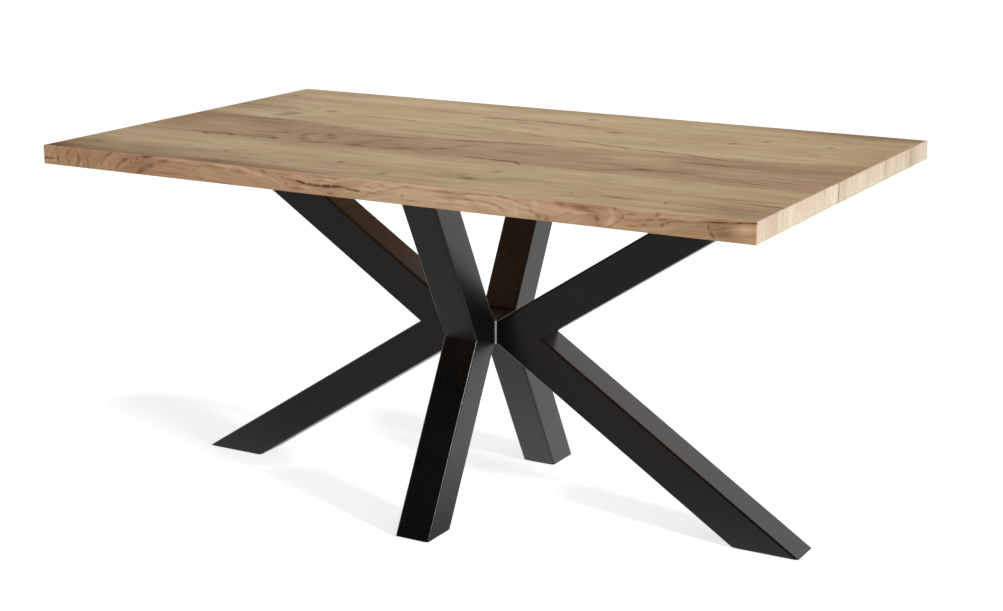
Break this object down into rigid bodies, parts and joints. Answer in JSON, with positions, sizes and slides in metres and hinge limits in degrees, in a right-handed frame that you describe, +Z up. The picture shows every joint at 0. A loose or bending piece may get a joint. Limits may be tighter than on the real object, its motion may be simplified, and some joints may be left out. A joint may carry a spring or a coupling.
{
  "type": "coffee table",
  "caption": "Low rectangular table: a flat oak-decor board on a crossed base of four bent legs in black square tube, which meet at a small central hub.",
  "frame": {"origin": "on the floor, under the middle of the top", "axes": "+X along the length of the top, +Y across it to the back, +Z up"},
  "size_m": [1, 0.6, 0.49],
  "materials": {
    "oak_decor": "matt oak-decor laminate, light brown grain along X",
    "oak_edge": "matt oak-decor edge band, grain along the edge",
    "oak_end": "matt pale oak-decor edge band, short upright strokes",
    "backing": "plain matt balancing laminate",
    "chipboard": "raw chipboard",
    "black_steel": "matt black powder coat",
    "zinc_steel": "zinc-plated steel",
    "black_plastic": "matt black plastic cap",
    "glide_pad": "black felt-like glide pad"
  },
  "bodies": {
    "root": {"top_core": "chipboard", "decor_laminate": "oak_decor", "backing_laminate": "backing", "front_edge_band": "oak_edge", "back_edge_band": "oak_edge", "left_edge_band": "oak_end", "right_edge_band": "oak_end", "left_upper_arm": "black_steel", "right_upper_arm": "black_steel", "front_upper_arm": "black_steel", "back_upper_arm": "black_steel", "left_lower_leg": "black_steel", "right_lower_leg": "black_steel", "front_lower_leg": "black_steel", "back_lower_leg": "black_steel", "left_mounting_plate": "black_steel", "right_mounting_plate": "black_steel", "front_mounting_plate": "black_steel", "back_mounting_plate": "black_steel", "left_hub_plate": "black_steel", "right_hub_plate": "black_steel", "front_hub_plate": "black_steel", "back_hub_plate": "black_steel", "left_foot_plate": "black_steel", "right_foot_plate": "black_steel", "front_foot_plate": "black_steel", "back_foot_plate": "black_steel", "left_glide": "glide_pad", "right_glide": "glide_pad", "front_glide": "glide_pad", "back_glide": "glide_pad", "hub_tube": "zinc_steel", "hub_caps": "black_plastic", "hub_screws": "zinc_steel", "hub_nuts": "zinc_steel", "top_screws": "zinc_steel"}
  },
  "joints": []
}
